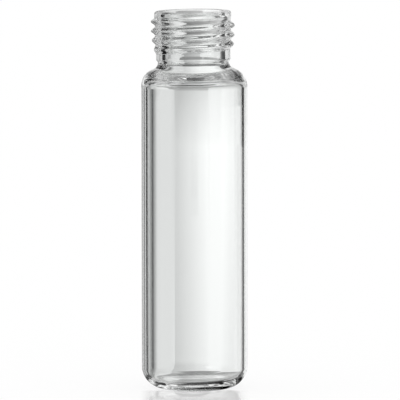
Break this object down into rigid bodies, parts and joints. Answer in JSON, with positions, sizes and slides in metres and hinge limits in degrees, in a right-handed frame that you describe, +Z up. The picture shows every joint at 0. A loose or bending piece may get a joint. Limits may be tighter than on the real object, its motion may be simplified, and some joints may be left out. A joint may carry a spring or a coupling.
{
  "type": "glass sample vial",
  "caption": "Tall clear glass sample vial with a flat base, straight round body, rounded shoulder and an open screw-thread neck.",
  "frame": {"origin": "centre of the foot ring, on the surface that the vial stands on", "axes": "+Z up along the vial's axis towards the mouth; +X to the right and +Y away from the viewer; the thread starts 15 degrees short of +X, turned towards -Y"},
  "size_m": [0.0185, 0.0184, 0.066],
  "materials": {
    "clear_glass": "fire-polished clear borosilicate tube glass, smooth and colourless"
  },
  "bodies": {
    "root": {"vial": "clear_glass"}
  },
  "joints": []
}
